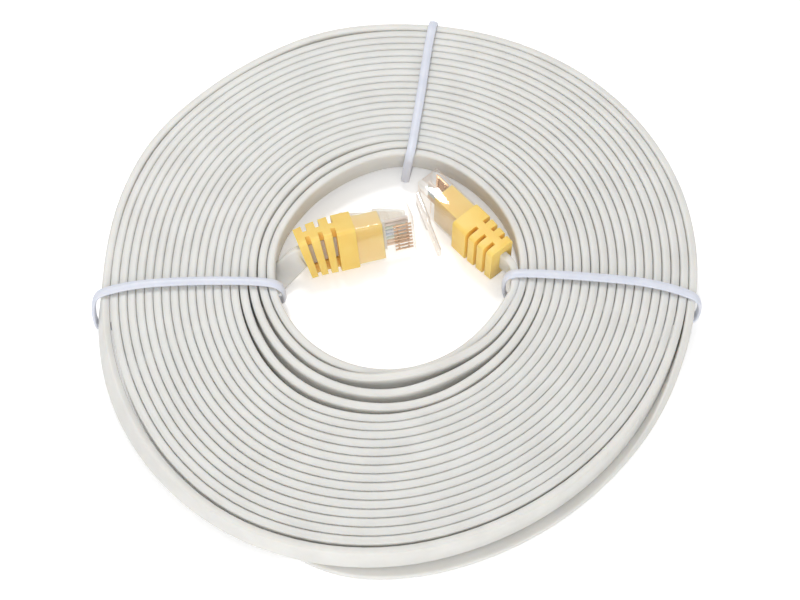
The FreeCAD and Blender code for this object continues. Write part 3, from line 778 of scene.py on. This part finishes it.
    def move_packed(self, node: str, name: str, body: str, finish: Material,
                    edge: float = 0.0, rise: float = 0.0) -> None:
        """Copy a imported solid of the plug, round its edges and put it where the photograph shows it.

        Args:
            node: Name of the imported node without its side.
            name: Name of the piece without its side.
            body: Body that carries it.
            finish: Its material.
            edge: Width of the rounded edges in millimetres, or nothing.
            rise: How far it moves off the housing in millimetres.
        """
        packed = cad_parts[self.side + "_" + node]
        piece = packed.copy()
        piece.data = packed.data.copy()
        piece.name = self.side + "_" + name
        piece.parent = None
        bpy.context.scene.collection.objects.link(piece)
        back = PACKED_PLACES[self.side].matrix().inverted()
        piece.data.transform(Matrix.Translation((0.0, rise * MM, 0.0)) @ back @ packed.matrix_world)
        piece.matrix_world = Matrix.Identity(4)
        only(piece)
        bpy.ops.object.mode_set(mode="EDIT")
        bpy.ops.mesh.select_all(action="SELECT")
        bpy.ops.mesh.remove_doubles(threshold=MERGE_DISTANCE * MM)
        bpy.ops.mesh.dissolve_limited(angle_limit=math.radians(FLAT_ANGLE))
        bpy.ops.object.mode_set(mode="OBJECT")
        if edge > 0.0:
            apply_modifier(piece, "BEVEL", width=edge * MM, segments=FINE_STEPS, limit_method="ANGLE",
                           angle_limit=math.radians(BEVEL_ANGLE))
        self.settle(piece, node, finish, body)


# Cable


@dataclass(frozen=True)
class Stray:
    """One place where a turn leaves the even spiral.

    The amounts are the most that it moves out, lifts, and leans outwards at its top.
    """

    turn: int
    angle: float
    span: float
    out: float = 0.0
    lift: float = 0.0
    lean: float = 0.0

    def share(self, turns_out: float) -> float:
        """Part of the amounts that holds at a place of the spiral.

        Args:
            turns_out: Turns still to go to the inner end, plus the spiral's own start.

        Returns:
            Number from 0 to 1.
        """
        away = abs(turns_out - (self.turn - self.angle / 360.0)) * 360.0 / self.span
        return math.cos(away * math.pi / 2.0) ** 2 if away < 1.0 else 0.0


@dataclass
class FlatCable:
    """The whole flat cable: left boot, under the coil, round the spiral and into the right boot."""

    width: float = 6.1 * MM
    thickness: float = 2.0 * MM
    edge_radius: float = 0.5 * MM
    centre: Vector = Vector((0.6 * MM, 1.7 * MM, 0.0))
    inner_radius: float = 28.8 * MM
    turn_pitch: float = 2.156 * MM
    outer_turn: int = 21
    first_angle: float = 345.0
    end_angle: float = 330.0
    turn_points: int = 24
    coil_bottom: float = 2.6 * MM
    edge_steps: int = 3
    resolution: int = 5

    # Straight runs in millimetres: on from the coil's inner end, behind the right boot, and out of
    # the left boot
    inner_runs: ClassVar[tuple[float, float]] = (4.0, 7.5)
    right_run: float = 4.2
    left_run: float = 1.0

    # From the left boot to the floor: reach, turn, height and how flat it lies
    lead_route: ClassVar[Rows] = ((2.0, 3.0, 4.8, 0.15), (4.2, 7.0, 3.2, 0.4), (6.6, 12.0, 2.0, 0.8))

    # Push off the even spiral, in millimetres. Each row: angle, then the first, second, third,
    # fifth and outermost turn, as the turns lie in the photograph
    push_turns: ClassVar[tuple[float, ...]] = (0.3, 1.3, 2.3, 4.0, 19.3)
    pushes: ClassVar[Rows] = (
        (0, -0.2, 0.0, 0.0, 0.0, 0.3), (20, -0.3, -0.3, -0.1, 0.0, 1.2), (40, -0.3, -0.4, -0.2, 0.1, 1.1),
        (60, 0.2, 0.4, 0.4, 0.3, 0.2), (75, 0.9, 1.1, 1.0, 0.5, -0.7), (90, 0.6, 0.9, 1.1, 0.5, -1.3),
        (105, -0.4, -0.4, 0.4, 0.1, -1.6), (117, -1.2, -1.1, -0.2, -0.1, -2.1),
        (132, -1.4, -1.1, -0.6, -0.4, -2.2), (150, -1.1, -0.9, -0.4, -0.3, -1.2),
        (178, 0.6, 0.5, 0.7, 0.4, -1.0), (200, 1.3, 1.3, 1.5, 2.0, 0.9), (215, 1.5, 1.6, 2.3, 3.6, 3.2),
        (231, 1.9, 2.1, 3.0, 5.5, 5.8), (246, 1.9, 2.4, 3.2, 6.0, 6.7), (262, 1.4, 0.9, 2.9, 4.8, 4.9),
        (271, 0.6, 0.0, 2.3, 4.3, 4.1), (286, -0.4, -0.7, 0.7, 2.8, 1.9), (301, -0.6, -0.9, 0.0, 1.6, 0.3),
        (316, -0.5, -0.4, 0.1, 0.8, -0.4), (332, -0.4, -0.3, 0.0, 0.3, -0.6),
        (346, 0.0, 0.2, 0.2, 0.2, -0.4), (360, 0.0, 0.0, 0.0, 0.0, 0.0))

    # Places where single turns leave those pushes
    strays: ClassVar[tuple[Stray, ...]] = (
        Stray(1, 286.0, 42.0, lift=-2.3), Stray(2, 284.0, 34.0, lift=0.8),
        Stray(4, 285.0, 26.0, out=0.7), Stray(20, 105.0, 20.0, out=0.8),
        Stray(20, 152.0, 22.0, out=0.35), Stray(20, 180.0, 30.0, out=0.1, lean=-5.0),
        Stray(20, 196.0, 20.0, out=0.4, lean=-8.0), Stray(20, 211.0, 28.0, out=1.4, lean=-24.0),
        Stray(20, 240.0, 30.0, out=0.8, lean=-9.0), Stray(20, 270.0, 30.0, out=0.85, lean=-11.0),
        Stray(20, 300.0, 30.0, out=0.8, lean=-11.0), Stray(20, 330.0, 30.0, out=0.3, lift=0.5, lean=-5.0))

    # Flat stretch under the coil and its rise outside it: angle round the centre, radius and
    # height in millimetres, and how far the ribbon has turned from flat to upright in degrees
    flat_route: ClassVar[Rows] = (
        (193.9, 38.2, 1.8, 0), (206.6, 40.6, 1.8, 0), (220.0, 42.0, 1.7, 0), (236.0, 52.0, 1.4, 0),
        (245.0, 67.0, 1.2, 0), (252.0, 74.2, 1.15, 0), (260.0, 76.3, 1.15, 0), (268.0, 76.2, 1.15, 0),
        (277.0, 75.2, 1.15, 0), (286.0, 73.9, 1.15, 0), (294.0, 72.8, 1.15, 3), (301.0, 72.0, 1.2, 6),
        (308.0, 71.4, 1.3, 10), (315.0, 71.0, 1.6, 18), (322.0, 71.0, 2.2, 32), (329.0, 71.2, 3.1, 50),
        (336.0, 71.5, 4.3, 70))

    def push(self, angle: float, turns_out: float) -> float:
        """How far the turns are pushed off the even spiral.

        Args:
            angle: Angle round the centre in degrees.
            turns_out: Turns still to go to the inner end.

        Returns:
            Radial distance in metres.
        """
        angle %= 360.0
        for before, after in zip(self.pushes, self.pushes[1:]):
            if angle <= after[0]:
                share = smooth((angle - before[0]) / (after[0] - before[0]))
                near, far = (numpy.interp(turns_out, self.push_turns, row[1:]) for row in (before, after))
                return float(near * (1.0 - share) + far * share) * MM
        return 0.0

    def spiral_place(self, angle: float, turns_out: float) -> tuple[Vector, Vector]:
        """Place of the ribbon's middle on the spiral, and the way its width points.

        Args:
            angle: Angle round the centre in degrees.
            turns_out: Turns still to go to the inner end.

        Returns:
            Place in metres and a unit vector across the ribbon.
        """
        radius = self.inner_radius + self.turn_pitch * turns_out + self.push(angle, turns_out)
        lift = 0.0
        lean = 0.0
        for stray in self.strays:
            share = stray.share(turns_out)
            radius += stray.out * MM * share
            lift += stray.lift * MM * share
            lean += math.radians(stray.lean) * share
        radius /= math.cos(math.pi / self.turn_points)
        outward = heading(angle)
        place = self.centre + outward * radius + UP * (self.coil_bottom + self.width / 2.0 + lift)
        return place, (UP * math.cos(lean) + outward * math.sin(lean)).normalized()

    def spiral(self) -> list[tuple[Vector, Vector]]:
        """Control points of the spiral, outer end first.

        Returns:
            Place and width direction of each point.
        """
        start = self.outer_turn - self.first_angle / 360.0
        end = 1.0 - self.end_angle / 360.0
        count = round((start - end) * self.turn_points)
        return [self.spiral_place(self.first_angle + index * 360.0 / self.turn_points,
                                  start - index / self.turn_points) for index in range(count + 1)]

    def right_lead(self) -> list[tuple[Vector, Vector]]:
        """Control points from the coil's inner end into the right boot.

        Returns:
            Place and width direction of each point.
        """
        plug = RIGHT_PLUG.matrix()
        rear = plug @ Vector((-PLUG_LENGTH, 0.0, 0.0))
        grip = plug @ Vector((CABLE_GRIP - PLUG_LENGTH, 0.0, 0.0))
        back = (rear - grip).normalized()
        last, _ = self.spiral_place(self.end_angle, 1.0 - self.end_angle / 360.0)
        onward = heading(self.end_angle + 90.0)
        inner = [(last + onward * run * MM, UP) for run in self.inner_runs]
        return [*inner, (rear + back * self.right_run * MM, UP), (rear, UP), (grip, UP)]

    def left_lead(self) -> list[tuple[Vector, Vector]]:
        """Control points from inside the left boot down to the flat stretch.

        Returns:
            Place and width direction of each point.
        """
        plug = LEFT_PLUG.matrix()
        across = (plug.to_3x3() @ Vector((0.0, 0.0, 1.0))).normalized()
        points = []
        inside = [-share * CABLE_GRIP for share in (1.0, 0.75, 0.5, 0.25, 0.0)]
        for reach in (*inside, self.left_run * MM):
            points.append((plug @ LEFT_BOOT.bent(Vector((-PLUG_LENGTH - reach, 0.0, 0.0))), across))
        rear = points[-1][0]
        along = rear - points[-2][0]
        level = Vector((along.x, along.y, 0.0)).normalized()
        side = level.cross(UP).normalized()
        if across.dot(side) < 0.0:
            side.negate()
        for reach, turned, height, share in self.lead_route:
            way = Matrix.Rotation(math.radians(turned), 3, "Z") @ level
            place = rear + way * reach * MM
            points.append((Vector((place.x, place.y, height * MM)), across.lerp(side, share).normalized()))
        return points

    def flat_stretch(self) -> list[tuple[Vector, Vector]]:
        """Control points of the flat ribbon under the coil and its rise to the outermost turn.

        Returns:
            Place and width direction of each point.
        """
        places = [self.centre + heading(angle) * radius * MM + UP * height * MM
                  for angle, radius, height, _ in self.flat_route]
        points = []
        for index, place in enumerate(places):
            before = places[max(index - 1, 0)]
            after = places[min(index + 1, len(places) - 1)]
            turned = math.radians(self.flat_route[index][3])
            level = (after - before).cross(UP).normalized()
            points.append((place, level * math.cos(turned) + UP * math.sin(turned)))
        return points

    def section(self) -> list[tuple[float, float]]:
        """Outline of the ribbon with rounded edges, across its width and its thickness.

        Returns:
            Points in order round the outline.
        """
        half_width = self.width / 2.0 - self.edge_radius
        half_thickness = self.thickness / 2.0 - self.edge_radius
        outline = []
        for number, (wide, thin) in enumerate(((1, 1), (-1, 1), (-1, -1), (1, -1))):
            for step in range(self.edge_steps + 1):
                angle = math.radians(90.0 * number + 90.0 / self.edge_steps * step)
                outline.append((wide * half_width + self.edge_radius * math.cos(angle),
                                thin * half_thickness + self.edge_radius * math.sin(angle)))
        return outline

    def build(self, finishes: Finishes) -> None:
        """Args:
            finishes: Materials of the cable.
        """
        points = self.left_lead() + self.flat_stretch() + self.spiral() + self.right_lead()
        line = read_spline([place for place, _ in points], self.resolution)
        rail = read_spline([place + wide * self.width for place, wide in points], self.resolution)
        cable = sweep("flat_cable", line, rail, self.section(), finishes.jacket)
        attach(cable, "cable")
        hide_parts("cable_coil", "cable_lead_left", "cable_lead_right", "cable_rise",
                    "cable_underpass")
        rear = LEFT_PLUG.matrix() @ Vector((-PLUG_LENGTH, 0.0, 0.0))
        log.info("flat cable: %d line points", len(line))


# Ties


@dataclass
class Tie:
    """One wire tie round the coil: a flat sleeve with a wire in it, its ends lapped under the coil."""

    name: str
    route: tuple[Corner, ...]
    half_width: float = 1.12 * MM
    half_core: float = 0.56 * MM
    half_edge: float = 0.4 * MM
    wire_radius: float = 0.25 * MM
    wire_end: float = 0.5 * MM
    wire_sides: int = 8
    resolution: int = 8

    def sleeve_section(self) -> list[tuple[float, float]]:
        """Outline of the sleeve: rounded edges and a rise over the wire.

        Returns:
            Points in order round the outline.
        """
        quarter = [(1.0, 0.0), (0.93, 0.6), (0.8, 0.92), (0.62, 1.0)]
        side = [(x * self.half_width, y * self.half_edge) for x, y in quarter]
        crown = [(0.34 * self.half_width, self.half_core * 0.93), (0.0, self.half_core)]
        half = side + crown + [(-x, y) for x, y in (crown[0], *side[::-1])]
        return half + [(-x, -y) for x, y in half[1:-1]]

    def build(self, finishes: Finishes) -> None:
        """Make the sleeve and its wire.

        Args:
            finishes: Materials of the cable.
        """
        points = [Vector(place) * MM for place in self.route]
        chord = points[len(points) // 2] - points[0]
        across = Vector((chord.x, chord.y, 0.0)).cross(UP).normalized()
        line = read_spline(points, self.resolution)
        rail = [place + across * self.half_width for place in line]
        sleeve = sweep(self.name + "_band", line, rail, self.sleeve_section(), finishes.tie)
        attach(sleeve, "cable")
        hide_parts(self.name + "_sleeve")
        first = line[0] + (line[0] - line[1]).normalized() * self.wire_end
        last = line[-1] + (line[-1] - line[-2]).normalized() * self.wire_end
        long_line = [first, *line, last]
        long_rail = [place + across * self.half_width for place in long_line]
        turns = [math.tau * number / self.wire_sides for number in range(self.wire_sides)]
        circle = [(self.wire_radius * math.cos(turn), self.wire_radius * math.sin(turn)) for turn in turns]
        wire = sweep(self.name + "_wire", long_line, long_rail, circle, finishes.wire)
        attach(wire, "cable")
        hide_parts(self.name + "_core")
        log.info("%s: band and wire", self.name)


# Each tie's route in millimetres, from its end under the coil, up inside and over to the outside
TIES = (Tie("tie_left", (
    (-42.0, -6.4, 0.55), (-33.0, -5.6, 0.55), (-28.2, -5.5, 0.6), (-26.7, -6.2, 2.6), (-26.5, -6.5, 6.0),
    (-27.3, -6.1, 9.0), (-30.2, -5.4, 9.7), (-39.5, -5.0, 9.8), (-51.5, -5.3, 9.9), (-61.5, -6.0, 9.8),
    (-68.6, -7.6, 9.6), (-71.7, -8.7, 9.0), (-72.6, -10.3, 5.6), (-72.4, -12.2, 1.6), (-71.2, -12.9, 0.55),
    (-60.0, -12.0, 0.55), (-48.0, -10.0, 0.55), (-37.0, -8.4, 0.55))), Tie("tie_right", (
    (44.0, -6.4, 0.55), (34.0, -5.8, 0.55), (28.6, -5.4, 0.6), (26.9, -4.6, 2.2), (26.6, -3.6, 5.6),
    (27.2, -3.2, 9.0), (30.4, -2.8, 9.7), (42.5, -3.6, 9.8), (56.9, -5.0, 9.9), (64.0, -6.3, 9.8),
    (69.4, -8.0, 9.6), (72.9, -9.2, 8.8), (74.1, -9.5, 5.2), (73.8, -10.2, 1.8), (72.1, -11.2, 0.55),
    (62.0, -11.0, 0.55), (50.0, -9.6, 0.55), (38.0, -8.4, 0.55))), Tie("tie_top", (
    (5.6, 46.5, 0.55), (4.2, 36.0, 0.55), (3.0, 30.0, 0.55), (2.7, 28.0, 2.0), (3.2, 29.3, 5.6),
    (3.8, 30.4, 9.2), (4.5, 33.4, 9.8), (5.0, 37.2, 9.8), (6.9, 49.5, 9.9), (8.5, 62.1, 9.8),
    (9.6, 69.0, 9.6), (10.4, 73.4, 9.4), (10.7, 73.9, 5.0), (10.8, 73.4, 0.9), (10.9, 70.0, 0.55),
    (10.2, 62.0, 0.55), (9.0, 51.0, 0.55), (8.1, 41.0, 0.55))))


# Studio


def ray_strength(tree: NodeTree, lighting: float, seen: float) -> NodeSocket:
    """Add a strength that differs for rays from the camera, straight or through the plastic.

    Args:
        tree: Node tree of the floor or the world.
        lighting: Strength for the light that falls on the cable.
        seen: Strength for what the camera sees.

    Returns:
        Output socket with the strength.
    """
    rays = add_node(tree, "ShaderNodeLightPath")
    share = rays.outputs["Is Camera Ray"]
    for kind in ("Is Glossy Ray", "Is Transmission Ray"):
        share = add_node(tree, "ShaderNodeMath", {"operation": "MAXIMUM"}, {
            0: share, 1: rays.outputs[kind]}).outputs["Value"]
    return add_node(tree, "ShaderNodeMapRange", {}, {
        "Value": share, "To Min": lighting, "To Max": seen}).outputs["Result"]


@dataclass
class Studio:
    """Camera at the photograph's angle, soft light and a white sweep."""

    distance: float = 440.0 * MM
    elevation: float = 60.7
    lens: float = 80.0
    sensor: float = 36.0
    target: Vector = Vector((0.62 * MM, 1.70 * MM, 0.0))
    photo_shift_x: float = 3.5
    photo_shift_y: float = -24.0
    floor_size: float = 3.0
    floor_drop: float = 0.02 * MM
    floor_glow: float = 0.38
    world_light: float = 0.58

    def camera(self) -> None:
        """Place the camera and make it the scene's."""
        data = bpy.data.cameras.new("photo_camera")
        data.lens = self.lens
        data.sensor_width = self.sensor
        data.shift_x = self.photo_shift_x / PHOTO_WIDTH
        data.shift_y = self.photo_shift_y / PHOTO_WIDTH
        data.clip_start = 0.01
        data.clip_end = 20.0
        camera = bpy.data.objects.new("photo_camera", data)
        angle = math.radians(self.elevation)
        back = Vector((0.0, -math.cos(angle), math.sin(angle)))
        camera.location = self.target + back * self.distance
        camera.rotation_euler = (math.radians(90.0 - self.elevation), 0.0, 0.0)
        bpy.context.scene.collection.objects.link(camera)
        bpy.context.scene.camera = camera

    def lamp(self, name: str, place: Corner, power: float, size: float) -> None:
        """Add a square area lamp that faces the cable.

        Args:
            name: Name of the lamp.
            place: Where it stands, in metres.
            power: Power in watts.
            size: Side of the square in metres.
        """
        data = bpy.data.lights.new(name, "AREA")
        data.energy = power
        data.size = size
        lamp = bpy.data.objects.new(name, data)
        lamp.location = place
        lamp.rotation_mode = "QUATERNION"
        lamp.rotation_quaternion = (Vector(place) * -1.0).to_track_quat("-Z", "Y")
        bpy.context.scene.collection.objects.link(lamp)

    def floor_finish(self) -> Material:
        """Make a floor that renders white where it is open and keeps the object's shadow.

        Returns:
            Material of the floor.
        """
        material = bpy.data.materials.new("white_acrylic_sweep")
        material.use_nodes = True
        tree = material.node_tree
        fill(tree, tree.nodes["Principled BSDF"], {
            "Base Color": (0.95, 0.95, 0.95, 1.0), "Roughness": 0.5, "Emission Color": WHITE,
            "Emission Strength": ray_strength(tree, 0.0, self.floor_glow)})
        return material

    def build(self) -> None:
        """Make the floor, the lamps, the world and the camera."""
        bpy.ops.object.select_all(action="DESELECT")
        bpy.ops.mesh.primitive_plane_add(size=self.floor_size, location=(0.0, 0.0, -self.floor_drop))
        floor = bpy.context.object
        floor.name = "floor"
        floor.data.materials.append(self.floor_finish())
        world = bpy.context.scene.world or bpy.data.worlds.new("studio")
        bpy.context.scene.world = world
        world.use_nodes = True
        tree = world.node_tree
        fill(tree, tree.nodes["Background"], {
            "Color": WHITE, "Strength": ray_strength(tree, self.world_light, 1.0)})
        self.lamp("key_softbox", place=(-0.12, 0.45, 0.85), power=2.9, size=0.2)
        self.lamp("fill_softbox", place=(-0.1, -0.95, 0.4), power=4.6, size=0.8)
        self.camera()
        bpy.context.scene.view_settings.view_transform = "Standard"


def main() -> None:
    """Build the cable, dress its plugs and set the studio."""
    logging.basicConfig(level=logging.INFO, format="%(name)s: %(message)s")
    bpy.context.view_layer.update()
    finishes = Finishes()
    FlatCable().build(finishes)
    for boot, rise in ((LEFT_BOOT, 0.0), (RIGHT_BOOT, RIGHT_LATCH_RISE)):
        boot.build(finishes)
        pocket = boot.front + boot.insert_length + POCKET_GAP
        Plug(boot.side, boot.place, pocket_front=pocket, latch_rise=rise).build(finishes)
        log.info("%s plug built", boot.side)
    for tie in TIES:
        tie.build(finishes)
    Studio().build()


if __name__ == "__main__":
    main()
